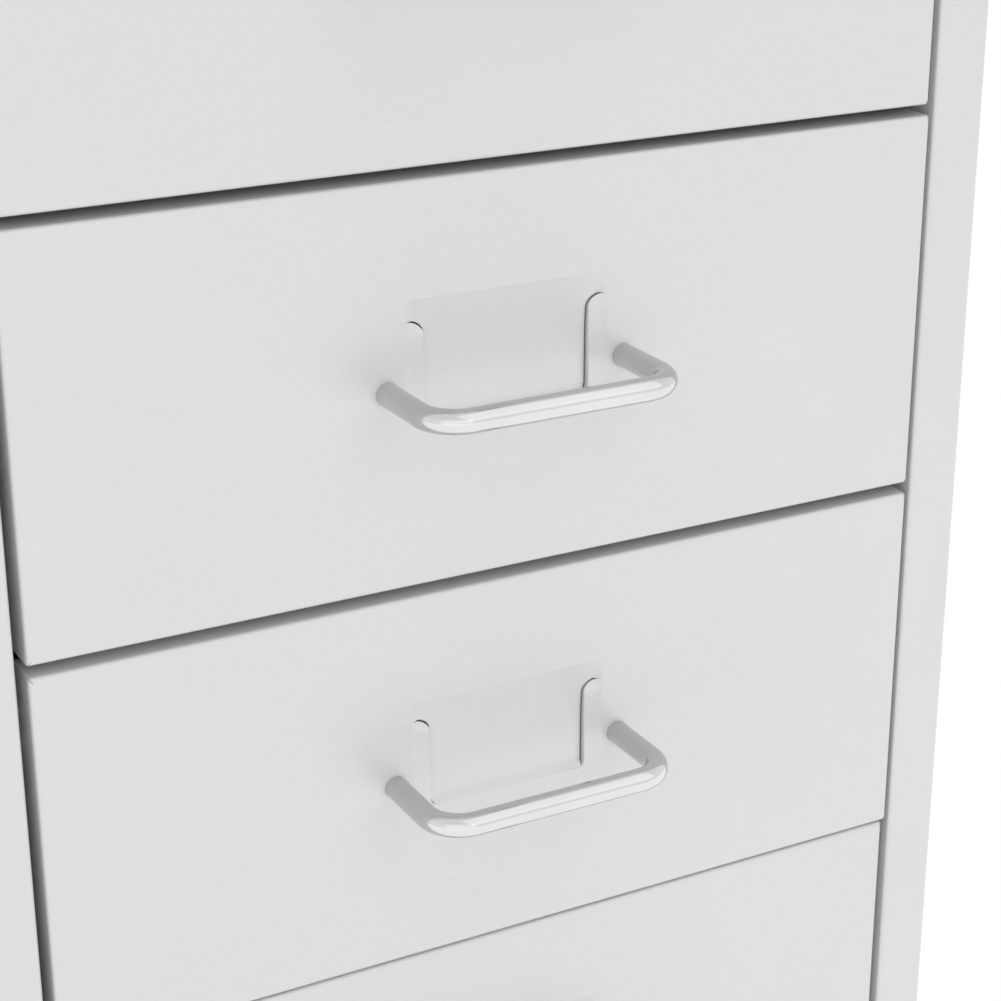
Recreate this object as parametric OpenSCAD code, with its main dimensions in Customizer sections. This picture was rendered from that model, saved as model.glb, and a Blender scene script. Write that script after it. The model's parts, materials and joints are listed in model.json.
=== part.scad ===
// Small drawer cabinet of folded sheet steel: six drawers, one over the other, in a case on four
// twin-wheel swivel castors. Millimetres. +Z is up and the drawers open towards -Y. The origin is
// on the floor under the middle of the whole cabinet, handles and screw heads included.

/* [Case] */
// Width over the side panels
case_w = 280; // [250:1:340]
// Depth from the drawer fronts to the back lips
case_d = 430; // [390:1:500]
// Thickness of the case sheet
case_sheet = 0.8; // [0.6:0.1:1.1]
// Outside radius of the bends in the sheet
bend_r = 1.2; // [1.2:0.1:2.2]
// Width of the stiles beside the drawers
stile_w = 15.5; // [14:0.5:22]
// Height of the rails above and below the drawers
rail_h = 11.5; // [11:0.5:20]
// Depth of the returns folded behind the stiles
stile_return = 12; // [8:0.5:13]
// Width of the lips that join the panels
lip_w = 12; // [10:0.5:14]
// Width of the hems inside the top and base rims
hem_w = 8; // [5:0.5:10]
// Thickness of the back panel
back_sheet = 0.7; // [0.5:0.1:1]
// How far the beads of the back panel stand out
bead_rise = 1.8; // [1:0.1:2]

/* [Drawers] */
// Height of a drawer front
drawer_h = 100; // [90:1:130]
// Gap between one drawer front and the next
drawer_gap = 3; // [2.8:0.1:5]
// Gap beside a drawer front
side_gap = 2; // [1.5:0.1:3]
// Thickness of the front sheet
front_sheet = 0.8; // [0.7:0.1:1]
// Depth of the flanges round a drawer front
front_flange = 12; // [8:0.5:14]
// Thickness of the tray sheet
tray_sheet = 0.7; // [0.6:0.1:0.9]
// Room behind a closed tray
tray_room = 31; // [26:1:60]
// How far the runner flange lies below the top of the front
tray_drop = 20; // [14:0.5:26]
// Width of the weld tabs that hold the tray to its front
weld_tab = 4; // [3:0.1:4.3]
// How far the third and fourth drawer have slid over to the right in their runners
side_play = 0.65; // [0:0.05:0.7]
// How much higher the runners of the third and fourth drawer are welded
weld_play = 0.25; // [0:0.05:0.5]
// How much higher the runners of the fifth drawer are welded
raised_by = 2.4; // [0:0.1:2.4]
// How much further in the fifth drawer closes
closed_in = 0.7; // [0:0.1:1]

/* [Label pocket] */
// Width of the pocket's head, over which a card goes in
head_w = 54; // [52:0.1:58]
// Width of the tongue between the slits
tongue_w = 44.6; // [36:0.1:46]
// Height of the head above the handle's line
head_rise = 22; // [19:0.1:26]
// Height of the head's side walls
head_wall = 5.6; // [4:0.1:6]
// Height of the sloping part of the tongue
ramp_h = 16; // [13:0.1:17]
// How far the tongue is pressed in
pocket_depth = 1.5; // [1.3:0.1:2.6]
// How far the pocket's foot lies below the handle's line
foot_drop = 7.8; // [6:0.1:10]
// Height of the bevel at the pocket's foot
foot_bevel = 1.2; // [0.8:0.1:2]
// Corner radius of the head
head_corner = 3.5; // [2:0.1:4]

/* [Handles] */
// Distance between the legs
handle_pitch = 64; // [62:1:96]
// Diameter of the rod
handle_rod = 6; // [5.6:0.1:8]
// How far the handle stands out of the front
handle_out = 29; // [24:0.5:36]
// Radius of the bends along the middle of the rod
handle_bend = 9; // [7:0.5:14]
// Diameter of the handle screws and of the screws in the back
screw_d = 4; // [3:0.5:4]

/* [Runners] */
// Clear height inside a runner
runner_h = 8; // [7:0.1:10]
// Width of the runner's lips
runner_lip = 7; // [6:0.1:8]
// Thickness of the runners and their posts
runner_sheet = 1; // [0.8:0.1:1.1]
// Width of the drawer flange that rides in the runner
flange_w = 6.3; // [5.5:0.1:6.5]
// Length of the fixed glide at the front of a runner
front_glide = 15; // [10:1:20]
// Length of the sliding glide at the rear of a drawer
rear_glide = 40; // [30:1:60]
// Width of the posts that carry the runners
post_w = 30; // [20:1:40]

/* [Castors] */
// Height from the floor to the base
castor_h = 46; // [46:0.5:60]
// Diameter of the wheels
wheel_d = 40; // [36:0.5:40]
// Width of one wheel
wheel_w = 10; // [8:0.5:12]
// Thickness of the web between the wheels
castor_web = 10; // [10:0.5:12]
// Distance from the swivel axis back to the axle
castor_trail = 20; // [19:0.5:24]
// Distance from the case's edges in to the swivel axis
castor_inset = 42; // [40:1:60]
// Diameter of the axle
axle_d = 5; // [4:0.5:6]
// Diameter of the stem in the castor
stem_d = 7; // [6:0.5:7]
// Diameter of the stem's thread
thread_d = 8; // [8:1:10]

/* [Hidden] */
drawer_count = 6;
castor_names = ["front_left", "front_right", "rear_left", "rear_right"];

$fn = 48;

paint = [0.85, 0.86, 0.86];
steel = [0.62, 0.63, 0.65];
nickel = [0.8, 0.79, 0.75];
nylon = [0.93, 0.93, 0.9];
plastic = [0.1, 0.1, 0.11];

// Clearances
slide_gap = 0.3;     // between what slides and what it slides on
lip_gap = 1;         // between a tray's wall and the runner's lips
post_gap = 1;        // between the posts' ends and the lips over and under them
runner_setback = 1;  // from the stile's edge out to the back of a runner
side_room = 0.95;    // beside a sliding glide in its runner
turn_gap = 0.05;     // round a stem or an axle that turns
face_gap = 0.6;      // between a wheel and the castor's web
hood_gap = 1.5;      // between the wheels' tread and the hood
swivel_gap = 0.2;    // under the stem's collar
hole_gap = 0.15;     // round a screw or a thread

// Screws and nuts
head_h = 2.2;
head_r = screw_d;
screw_depth = 7;
nut_h = 0.8 * thread_d;
nut_flats = 1.625 * thread_d;
pad_t = 1.5;
pad_w = 46;
thread_end = 1.5;
collar_t = 1.4;

// Levels and faces of the case
front_y = (handle_out - case_d - head_h) / 2;
back_y = front_y + case_d;
mid_y = (front_y + back_y) / 2;
base_z = castor_h;
side_z = base_z + rail_h;
side_h = drawer_count * drawer_h + (drawer_count + 1) * drawer_gap;
top_z = side_z + side_h + rail_h;
wall_x = case_w / 2;
inner_x = wall_x - case_sheet;
opening_x = wall_x - stile_w;

// Drawers and runners. A runner's back lies just outside the opening; the drawer's flange reaches
// into it from a wall that clears the runner's lips.
front_w = 2 * (opening_x - side_gap);
runner_x = opening_x + runner_setback;
lip_x = runner_x - runner_lip - runner_sheet;
tray_x = lip_x - lip_gap;
flange_top = drawer_h - tray_drop;
runner_under = 0.375 * runner_h;
runner_y = front_y + front_flange + 3;
runner_len = case_d - front_flange - 3 - tray_room / 2;
tray_len = case_d - front_sheet - tray_room;
glide_plate = 1.2;
bead_r = 6;

// Castors
collar_z = base_z - collar_t;
stem_low = wheel_d / 2 + 2;
boss_r = stem_d / 2 + 3.5;
hood_t = 2;
hood_r = wheel_d / 2 + hood_gap + hood_t;
hub_recess = 2.2;

function seat_x(i) = i == 3 || i == 4 ? side_play : 0;
function seat_y(i) = i == 5 ? closed_in : 0;
function seat_z(i) = i == 5 ? raised_by : i == 3 || i == 4 ? weld_play : 0;
function drawer_z(i) = side_z + drawer_gap + (drawer_count - i) * (drawer_h + drawer_gap) + seat_z(i);
function runner_z(i) = drawer_z(i) + flange_top - runner_under;
function castor_x(k) = (k % 2 == 0 ? -1 : 1) * (wall_x - castor_inset);
function castor_y(k) = k < 2 ? front_y + castor_inset : back_y - castor_inset;

// Folded sheet -------------------------------------------------------------------------------

function heading(a, b) = (b - a) / norm(b - a);
function left_of(u) = [-u[1], u[0]];

// Section of a sheet of thickness t, folded square at each inner point of a path. The points lie
// on one face of the sheet, which is on the path's left. r is the outside radius of the bends.
module folded(points, t, r) {
    last = len(points) - 1;
    function turn(i) = i == 0 || i == last ? 0 :
        sign(cross(heading(points[i - 1], points[i]), heading(points[i], points[i + 1])));
    function setback(i) = turn(i) == 0 ? 0 : turn(i) > 0 ? r : r - t;
    for (i = [0 : last - 1]) {
        u = heading(points[i], points[i + 1]);
        a = points[i] + u * setback(i);
        b = points[i + 1] - u * setback(i + 1);
        polygon([a, b, b + left_of(u) * t, a + left_of(u) * t]);
    }
    for (i = [1 : last - 1]) {
        u = heading(points[i - 1], points[i]);
        v = heading(points[i], points[i + 1]);
        translate(points[i] + (v - u) * setback(i))
            intersection() {
                difference() {
                    circle(r);
                    circle(r - t);
                }
                polygon([[0, 0], -v * r, (u - v) * r, u * r]);
            }
    }
}

// A section drawn in X and Z, carried along Y from one place to another
module along_y(from, to) {
    translate([0, to, 0]) rotate([90, 0, 0]) linear_extrude(to - from) children();
}

// A section drawn in Y and Z, carried along X
module along_x(from, to) {
    translate([from, 0, 0]) rotate([90, 0, 90]) linear_extrude(to - from) children();
}

// Section across a pan: floor, two sides and, if hem > 0, the hems folded in from their edges
module pan_section(w, h, hem, t) {
    floor_and_sides = [[-w / 2, h], [-w / 2, 0], [w / 2, 0], [w / 2, h]];
    folded(hem > 0 ? concat([[hem - w / 2, h]], floor_and_sides, [[w / 2 - hem, h]])
                   : floor_and_sides, t, bend_r);
}

// Pan folded up on four sides, its corners notched by the bend radius, floor at z = 0
module pan(w, d, h, hem, t) {
    along_y(bend_r - d / 2, d / 2 - bend_r) pan_section(w, h, hem, t);
    along_x(bend_r - w / 2, w / 2 - bend_r) pan_section(d, h, hem, t);
}

module screw_holes_in_back(r) {
    for (side = [-1, 1], level = [0 : 3])
        translate([side * (wall_x - lip_w / 2), back_y + 1, back_screw_z(level)])
            rotate([90, 0, 0]) cylinder(r = r, h = case_sheet + back_sheet + 2);
}
function back_screw_z(level) = side_z + 2 * lip_w + level * (side_h - 4 * lip_w) / 3;

// Case ---------------------------------------------------------------------------------------

// Right-hand side: stile with its return, wall and rear lip in one strip, a lip at each end
module side_panel() {
    difference() {
        union() {
            translate([0, 0, side_z]) linear_extrude(side_h)
                folded([[opening_x, front_y + stile_return], [opening_x, front_y],
                        [wall_x, front_y], [wall_x, back_y], [wall_x - lip_w, back_y]],
                       case_sheet, bend_r);
            for (z = [side_z, side_z + side_h - case_sheet])
                translate([wall_x - lip_w, front_y + 2 * bend_r, z])
                    cube([lip_w, case_d - 4 * bend_r, case_sheet]);
        }
        screw_holes_in_back(screw_d / 2 + hole_gap);
    }
}

module top_panel() {
    color(paint)
        translate([0, mid_y, top_z]) mirror([0, 0, 1]) pan(case_w, case_d, rail_h, hem_w, case_sheet);
}

// Base with a welded pad under each castor's nut
module base_panel() {
    color(paint)
        difference() {
            union() {
                translate([0, mid_y, base_z]) pan(case_w, case_d, rail_h, hem_w, case_sheet);
                for (k = [0 : 3])
                    translate([castor_x(k) - pad_w / 2, castor_y(k) - pad_w / 2, base_z + case_sheet / 2])
                        cube([pad_w, pad_w, case_sheet / 2 + pad_t]);
            }
            for (k = [0 : 3])
                translate([castor_x(k), castor_y(k), base_z - 1])
                    cylinder(d = thread_d + 2 * hole_gap, h = case_sheet + pad_t + 2);
        }
}

// Rod with ball ends along X, whose crown stands proud of the sheet as a bead
module bead_core(r, half) {
    rotate([0, 90, 0]) cylinder(r = r, h = 2 * half, center = true);
    for (side = [-1, 1]) translate([side * half, 0, 0]) sphere(r);
}

module back_panel() {
    outer = back_y - case_sheet;
    half = wall_x - 3 * lip_w;
    color(paint)
        difference() {
            union() {
                translate([bend_r + slide_gap - wall_x, outer - back_sheet, side_z])
                    cube([case_w - 2 * (bend_r + slide_gap), back_sheet, side_h]);
                intersection() {
                    beads(bead_r, half, outer);
                    translate([-wall_x, outer - back_sheet, side_z]) cube([case_w, 2 * bead_r, side_h]);
                }
            }
            beads(bead_r - back_sheet, half, outer);
            screw_holes_in_back(screw_d / 2);
        }
}

module beads(r, half, outer) {
    for (level = [1 : 3])
        translate([0, outer + bead_rise - bead_r, side_z + level * side_h / 4]) bead_core(r, half);
}

module back_screws() {
    color(steel)
        for (side = [-1, 1], level = [0 : 3])
            translate([side * (wall_x - lip_w / 2), back_y, back_screw_z(level)])
                rotate([90, 0, 0]) pan_screw(case_sheet + back_sheet + 4);
}

// Pan-head screw, its head on the plane z = 0 and its shank of length l up from there
module pan_screw(l) {
    cylinder(d = screw_d, h = l);
    mirror([0, 0, 1]) {
        cylinder(r = head_r, h = head_h / 2);
        translate([0, 0, head_h / 2]) cylinder(r1 = head_r, r2 = head_r / 2, h = head_h / 2);
    }
}

// Runners ------------------------------------------------------------------------------------

// Right-hand rack: two hat-section posts on the side panel and a channel for each drawer
module runner_rack() {
    web_x = runner_x + runner_sheet;
    foot = 8;
    for (post_y = [runner_y + 20, runner_y + runner_len - 20 - post_w])
        translate([0, 0, side_z + case_sheet + post_gap])
            linear_extrude(side_h - 2 * (case_sheet + post_gap))
                folded([[inner_x, post_y - foot], [inner_x, post_y], [web_x, post_y],
                        [web_x, post_y + post_w], [inner_x, post_y + post_w],
                        [inner_x, post_y + post_w + foot]], runner_sheet, bend_r);
    for (i = [1 : drawer_count]) {
        low = runner_z(i) - runner_sheet;
        high = runner_z(i) + runner_h + runner_sheet;
        along_y(runner_y, runner_y + runner_len)
            folded([[lip_x, low], [runner_x, low], [runner_x, high], [lip_x, high]],
                   runner_sheet, bend_r);
    }
}

// Nylon saddle in the mouth of each runner, on which a drawer's flange rides
module runner_glides() {
    wide = runner_x - bend_r - lip_x;
    color(nylon)
        for (side = [-1, 1], i = [1 : drawer_count])
            mirror([side < 0 ? 1 : 0, 0, 0])
                translate([lip_x, runner_y, runner_z(i)]) {
                    cube([wide, front_glide, runner_under - slide_gap]);
                    translate([0, -glide_plate, -runner_sheet])
                        cube([wide, glide_plate, runner_sheet + runner_under - slide_gap]);
                }
}

// Drawers ------------------------------------------------------------------------------------
// Each is drawn with the middle of its front's outer face at the origin, then put in its place.

module in_drawer(i) {
    translate([seat_x(i), front_y + seat_y(i), drawer_z(i) + drawer_h / 2]) children();
}

// Outline of the pressed-in pocket: a wide head over a narrow tongue, with round shoulders
module pocket_outline() {
    hook = head_rise - head_wall;
    shoulder = (head_w - tongue_w) / 2;
    difference() {
        union() {
            translate([-head_w / 2, hook]) square([head_w, head_wall - head_corner]);
            translate([head_corner - head_w / 2, hook])
                square([head_w - 2 * head_corner, head_wall]);
            for (side = [-1, 1])
                translate([side * (head_w / 2 - head_corner), head_rise - head_corner])
                    circle(head_corner);
            translate([-tongue_w / 2, -foot_drop]) square([tongue_w, foot_drop + hook]);
            translate([-head_w / 2, hook - shoulder]) square([head_w, shoulder + head_wall / 4]);
        }
        for (side = [-1, 1])
            translate([side * head_w / 2, hook - shoulder]) circle(shoulder);
    }
}

// How far the pocket is pressed in at a height above the handle's line
function pressed_in(z) =
    z > head_rise - ramp_h ? pocket_depth * sin(90 * (head_rise - z) / ramp_h) :
    z > foot_bevel - foot_drop ? pocket_depth :
    pocket_depth * (z + foot_drop) / foot_bevel;

// Section through the pocket's sheet in Y and Z
module pocket_section() {
    ramp_steps = 8;
    levels = concat([for (n = [0 : ramp_steps]) head_rise - n * ramp_h / ramp_steps],
                    [foot_bevel - foot_drop, -foot_drop]);
    last = len(levels) - 1;
    polygon(concat([for (z = levels) [pressed_in(z), z]],
                   [for (n = [0 : last]) [pressed_in(levels[last - n]) + front_sheet, levels[last - n]]]));
}

module drawer_front(i) {
    hook = head_rise - head_wall;
    color(paint) in_drawer(i)
        difference() {
            union() {
                difference() {
                    rotate([-90, 0, 0]) pan(front_w, drawer_h, front_flange, 0, front_sheet);
                    along_y(-1, front_sheet + 1) pocket_outline();
                }
                intersection() {
                    along_x(-head_w / 2, head_w / 2) pocket_section();
                    along_y(-1, pocket_depth + 2 * front_sheet) pocket_outline();
                }
                for (side = [-1, 1])
                    intersection() {
                        translate([side * (head_w - front_sheet) / 2, 0, 0])
                            along_x(-front_sheet / 2, front_sheet / 2)
                                head_side_section(hook);
                        along_y(-1, pocket_depth + 2 * front_sheet) pocket_outline();
                    }
            }
            for (side = [-1, 1])
                translate([side * handle_pitch / 2, -1, 0])
                    rotate([-90, 0, 0]) cylinder(d = screw_d + 2 * hole_gap, h = front_sheet + 2);
        }
}

// Side wall of the head, from the face of the front down to the sloping sheet
module head_side_section(hook) {
    polygon([[0, hook], [0, head_rise], [front_sheet, head_rise],
             [pressed_in(hook) + front_sheet, hook]]);
}

// Round rod bent twice, its legs' ends on the front and tapped for the screws
module drawer_handle(i) {
    reach = handle_out - handle_rod / 2;
    straight = reach - handle_bend;
    half = handle_pitch / 2;
    color(nickel) in_drawer(i)
        difference() {
            union() {
                for (side = [-1, 1]) {
                    translate([side * half, 0, 0])
                        rotate([90, 0, 0]) cylinder(d = handle_rod, h = straight);
                    translate([side * (half - handle_bend), -straight, 0])
                        mirror([side < 0 ? 1 : 0, 0, 0]) mirror([0, 1, 0])
                            rotate_extrude(angle = 90) translate([handle_bend, 0]) circle(d = handle_rod);
                }
                translate([0, -reach, 0]) rotate([0, 90, 0])
                    cylinder(d = handle_rod, h = handle_pitch - 2 * handle_bend, center = true);
            }
            for (side = [-1, 1])
                translate([side * half, 1, 0])
                    rotate([90, 0, 0]) cylinder(d = screw_d, h = screw_depth + 3);
        }
}

module handle_screws(i) {
    color(steel) in_drawer(i)
        for (side = [-1, 1])
            translate([side * handle_pitch / 2, front_sheet, 0])
                rotate([90, 0, 0]) pan_screw(front_sheet + screw_depth);
}

// Section through a tray's floor and walls, with or without the flanges that ride in the runners
module tray_section(flange) {
    floor_z = front_sheet - drawer_h / 2;
    flange_z = flange_top - drawer_h / 2;
    cup = [[-tray_x, flange_z], [-tray_x, floor_z], [tray_x, floor_z], [tray_x, flange_z]];
    folded(flange > 0 ? concat([[-tray_x - flange, flange_z]], cup, [[tray_x + flange, flange_z]])
                      : cup, tray_sheet, bend_r);
}

// Floor, walls and flanges from one strip, a folded back with a hem, and tabs at the front that
// stand against the front sheet. The floor lies on the front's lower flange.
module drawer_tray(i) {
    floor_z = front_sheet - drawer_h / 2;
    flange_z = flange_top - drawer_h / 2;
    end = front_sheet + tray_len;
    color(paint) in_drawer(i) {
        along_y(front_sheet + bend_r, front_flange + 1) tray_section(0);
        along_y(front_flange + 1, end - bend_r) tray_section(flange_w);
        along_x(bend_r - tray_x, tray_x - bend_r)
            folded([[end - 3 * bend_r, floor_z], [end, floor_z], [end, flange_z],
                    [end - hem_w, flange_z]], tray_sheet, bend_r);
        for (side = [-1, 1])
            mirror([side < 0 ? 1 : 0, 0, 0])
                translate([0, 0, floor_z + 2 * bend_r])
                    linear_extrude(flange_z - floor_z - 4 * bend_r)
                        folded([[tray_x - tray_sheet, front_flange], [tray_x - tray_sheet, front_sheet],
                                [tray_x + weld_tab, front_sheet]], tray_sheet, bend_r);
    }
}

// Nylon block moulded round the rear end of each flange. It slides in the runner, and stops the
// drawer against the fixed glide before it comes out.
module drawer_glides(i) {
    flange_z = flange_top - drawer_h / 2;
    low = flange_z - runner_under + slide_gap;
    end = front_sheet + tray_len - bend_r;
    wide = runner_x - runner_sheet - side_room - tray_x;
    color(nylon) in_drawer(i)
        for (side = [-1, 1])
            difference() {
                translate([side * (tray_x + wide / 2) - wide / 2, end - rear_glide, low])
                    cube([wide, rear_glide, runner_h - 2 * slide_gap]);
                along_y(end - rear_glide - 1, end + 1) tray_section(flange_w);
            }
}

// Castors ------------------------------------------------------------------------------------
// Each is drawn round its swivel axis, with the axle behind it.

module at_castor(k) {
    translate([castor_x(k), castor_y(k), 0]) children();
}

module at_axle() {
    translate([0, castor_trail, wheel_d / 2]) rotate([0, 90, 0]) children();
}

// Stem with the collar it stands on and the thread that goes up through the base
module castor_stem(k) {
    color(steel) at_castor(k) {
        translate([0, 0, stem_low]) cylinder(d = stem_d, h = collar_z - stem_low);
        translate([0, 0, collar_z]) cylinder(r = boss_r + 1, h = collar_t);
        translate([0, 0, base_z]) cylinder(d = thread_d, h = case_sheet + pad_t + nut_h + thread_end);
    }
}

module castor_nuts() {
    color(steel)
        for (k = [0 : 3])
            at_castor(k)
                translate([0, 0, base_z + case_sheet + pad_t])
                    difference() {
                        cylinder(d = nut_flats / cos(30), h = nut_h, $fn = 6);
                        translate([0, 0, -1]) cylinder(d = thread_d, h = nut_h + 2);
                    }
}

// Outline of the web between the wheels: a disc round the axle, cut off near the floor, and a
// round-ended column round the stem
module castor_web_outline() {
    intersection() {
        translate([castor_trail, wheel_d / 2]) circle(hood_r);
        translate([castor_trail - hood_r, wheel_d / 4]) square(2 * hood_r);
    }
    translate([0, stem_low]) circle(boss_r);
    translate([-boss_r, stem_low]) square([2 * boss_r, collar_z - swivel_gap - stem_low]);
}

// Arc of the hood over the wheels
module castor_guard_outline() {
    translate([castor_trail, wheel_d / 2])
        intersection() {
            difference() {
                circle(hood_r);
                circle(hood_r - hood_t);
            }
            translate([-hood_r, 0]) square(2 * hood_r);
        }
}

module castor_hood(k) {
    half_hood = castor_web / 2 + face_gap + wheel_w;
    boss_low = wheel_d / 2 + sqrt(pow(hood_r - hood_t, 2) - pow(castor_trail - boss_r, 2));
    color(plastic) at_castor(k)
        difference() {
            union() {
                along_x(-castor_web / 2, castor_web / 2) castor_web_outline();
                along_x(-half_hood, half_hood) castor_guard_outline();
                translate([0, 0, boss_low]) cylinder(r = boss_r, h = collar_z - swivel_gap - boss_low);
            }
            translate([0, 0, stem_low - 1]) cylinder(d = stem_d + 2 * turn_gap, h = castor_h);
            at_axle() cylinder(d = axle_d, h = 2 * castor_web, center = true);
        }
}

// Axle pressed through the web, with a head outside each wheel's hub
module castor_axle(k) {
    hub_x = castor_web / 2 + face_gap + wheel_w - hub_recess;
    color(steel) at_castor(k) at_axle() {
        cylinder(d = axle_d, h = 2 * (hub_x + swivel_gap), center = true);
        for (side = [-1, 1])
            mirror([0, 0, side < 0 ? 1 : 0])
                translate([0, 0, hub_x + swivel_gap]) cylinder(d = 1.6 * axle_d, h = hub_recess / 2);
    }
}

// Moulded wheel: hub, thin web and a rim with a rounded tread
module castor_wheel(k, side) {
    round_r = 1.5;
    hub_r = axle_d + 1.5;
    rim_t = wheel_d / 8;
    tread_r = wheel_d / 2;
    color(plastic) at_castor(k)
        mirror([side < 0 ? 1 : 0, 0, 0])
            translate([castor_web / 2 + face_gap, 0, 0]) at_axle()
                rotate_extrude() {
                    translate([axle_d / 2 + turn_gap, 0])
                        square([hub_r - axle_d / 2 - turn_gap, wheel_w - hub_recess]);
                    translate([hub_r - 1, wheel_w - hub_recess - 4])
                        square([tread_r - rim_t - hub_r + 2, 3]);
                    translate([tread_r - rim_t, 0]) square([rim_t - round_r, wheel_w]);
                    translate([tread_r - round_r - 1, round_r]) square([round_r + 1, wheel_w - 2 * round_r]);
                    for (w = [round_r, wheel_w - round_r]) translate([tread_r - round_r, w]) circle(round_r);
                }
}

// --------------------------------------------------------------------------------------------

color(paint) mirror([1, 0, 0]) side_panel();  // side_panel_left
color(paint) side_panel();  // side_panel_right
top_panel();
base_panel();
back_panel();
color(steel) mirror([1, 0, 0]) runner_rack();  // runner_rack_left
color(steel) runner_rack();  // runner_rack_right
runner_glides();
back_screws();
castor_nuts();
for (i = [1 : drawer_count]) {
    drawer_front(i);
    drawer_tray(i);
    drawer_handle(i);
    handle_screws(i);
    drawer_glides(i);
}
for (k = [0 : 3]) {
    castor_stem(k);
    castor_hood(k);
    castor_axle(k);
    castor_wheel(k, -1);
    castor_wheel(k, 1);
}
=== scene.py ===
import json
import math
import bmesh
import bpy
from mathutils import Matrix, Vector
from mathutils.geometry import delaunay_2d_cdt


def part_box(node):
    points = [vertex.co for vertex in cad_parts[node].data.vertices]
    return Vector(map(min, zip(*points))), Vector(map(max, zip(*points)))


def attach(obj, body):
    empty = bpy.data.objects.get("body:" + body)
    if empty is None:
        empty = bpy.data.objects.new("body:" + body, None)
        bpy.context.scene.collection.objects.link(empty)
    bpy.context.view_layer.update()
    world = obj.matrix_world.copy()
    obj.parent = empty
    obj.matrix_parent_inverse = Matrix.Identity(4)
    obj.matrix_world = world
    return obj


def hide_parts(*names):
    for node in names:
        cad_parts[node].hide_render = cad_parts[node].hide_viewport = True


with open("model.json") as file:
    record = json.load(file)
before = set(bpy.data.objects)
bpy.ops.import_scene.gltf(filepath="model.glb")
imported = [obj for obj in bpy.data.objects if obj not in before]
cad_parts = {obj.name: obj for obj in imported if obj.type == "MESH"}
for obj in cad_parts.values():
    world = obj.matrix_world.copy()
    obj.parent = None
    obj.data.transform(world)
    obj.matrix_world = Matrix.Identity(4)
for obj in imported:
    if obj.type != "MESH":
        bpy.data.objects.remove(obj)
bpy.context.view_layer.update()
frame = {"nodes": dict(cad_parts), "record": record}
mm = 0.001
castorNames = ("front_left", "front_right", "rear_left", "rear_right")
print("frame loaded")


def joined(name):
    return name.title().replace("_", "")


class Wire:  # one output in a finish's nodes; it adds, takes away and scales as a number does
    def __init__(self, finish, socket):
        self.finish, self.socket = finish, socket

    def maths(self, operation, *values):
        return self.finish.node("ShaderNodeMath", {"operation": operation}, dict(enumerate(values)))

    def __add__(self, other):
        return self.maths("ADD", self, other)

    def __radd__(self, other):
        return self.maths("ADD", other, self)

    def __sub__(self, other):
        return self.maths("SUBTRACT", self, other)

    def __rsub__(self, other):
        return self.maths("SUBTRACT", other, self)

    def __mul__(self, other):
        return self.maths("MULTIPLY", self, other)

    def __rmul__(self, other):
        return self.maths("MULTIPLY", other, self)

    def out(self, name):  # another output of the same node
        return Wire(self.finish, self.socket.node.outputs[name])


class Finish:  # a material, built up node by node; or the studio's air, if given a world
    def __init__(self, name, world=None):
        self.material = world or bpy.data.materials.new(name)
        self.material.use_nodes = True
        self.tree = self.material.node_tree
        self.tree.nodes.clear()
        self.place = self.node("ShaderNodeTexCoord").out("Generated" if world else "Object")

    def node(self, kind, settings=None, sockets=None):
        made = self.tree.nodes.new(kind)
        for key, value in (settings or {}).items():
            setattr(made, key, value)
        for key, value in (sockets or {}).items():
            if isinstance(value, Wire):
                self.tree.links.new(value.socket, made.inputs[key])
            else:
                made.inputs[key].default_value = value
        return Wire(self, made.outputs[0] if made.outputs else None)

    def noise(self, scale, detail=2.0, roughness=0.5, at=None):
        return self.node("ShaderNodeTexNoise", {}, {
            "Vector": at or self.place, "Scale": scale, "Detail": detail, "Roughness": roughness})

    def stretched(self, x, y, z):  # the place, scaled along each axis
        return self.node("ShaderNodeVectorMath", {"operation": "MULTIPLY"}, {0: self.place, 1: (x, y, z)})

    def cells(self, scale):  # an even random number for each small cell
        voronoi = self.node("ShaderNodeTexVoronoi", {}, {"Vector": self.place, "Scale": scale})
        return self.node("ShaderNodeSeparateColor", {}, {0: voronoi.out("Color")})

    def between(self, share, first, second):  # one colour turning into another
        return self.node("ShaderNodeMix", {"data_type": "RGBA"}, {
            "Factor": share, 6: (*first, 1), 7: (*second, 1)}).out(2)

    def bump(self, height, distance, under=None):
        sockets = {"Height": height, "Distance": distance, "Strength": 1.0}
        if under:
            sockets["Normal"] = under
        return self.node("ShaderNodeBump", {}, sockets)

    def surface(self, **looks):
        spaced = {"baseColor": "Base Color", "coatWeight": "Coat Weight", "coatRoughness": "Coat Roughness"}
        sockets = {spaced.get(key, key.title()): value for key, value in looks.items()}
        shader = self.node("ShaderNodeBsdfPrincipled", {}, sockets)
        self.node("ShaderNodeOutputMaterial", {}, {"Surface": shader})
        return self.material


def powderCoat(name, look):  # fine metal flake in a slightly rippled coat
    f = Finish(name)
    flake = f.cells(look["flakeScale"])
    cloud = f.noise(look["cloudScale"], 3.0)
    share = flake * look["flakeShare"] + cloud * (1 - look["flakeShare"])
    peel = f.noise(look["peelScale"], 2.0)
    grain = f.bump(flake, look["flakeHeight"])
    return f.surface(
        baseColor=f.between(share, look["dark"], look["light"]), metallic=look["metallic"],
        roughness=look["roughness"] + (flake - 0.5) * look["roughSpread"],
        coatWeight=look["coat"], coatRoughness=look["coatRoughness"],
        normal=f.bump(peel, look["peelHeight"], grain))


paintLook = {
    "dark": (0.74, 0.745, 0.745), "light": (0.81, 0.815, 0.815), "metallic": 0.15,
    "roughness": 0.38, "roughSpread": 0.12, "coat": 0.25, "coatRoughness": 0.18,
    "flakeScale": 3400, "flakeShare": 0.5, "flakeHeight": 0.000004, "cloudScale": 22,
    "peelScale": 900, "peelHeight": 0.00001}
casePaint = powderCoat("case powder coat", paintLook)
drawerPaint = powderCoat("drawer powder coat", paintLook)


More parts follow.
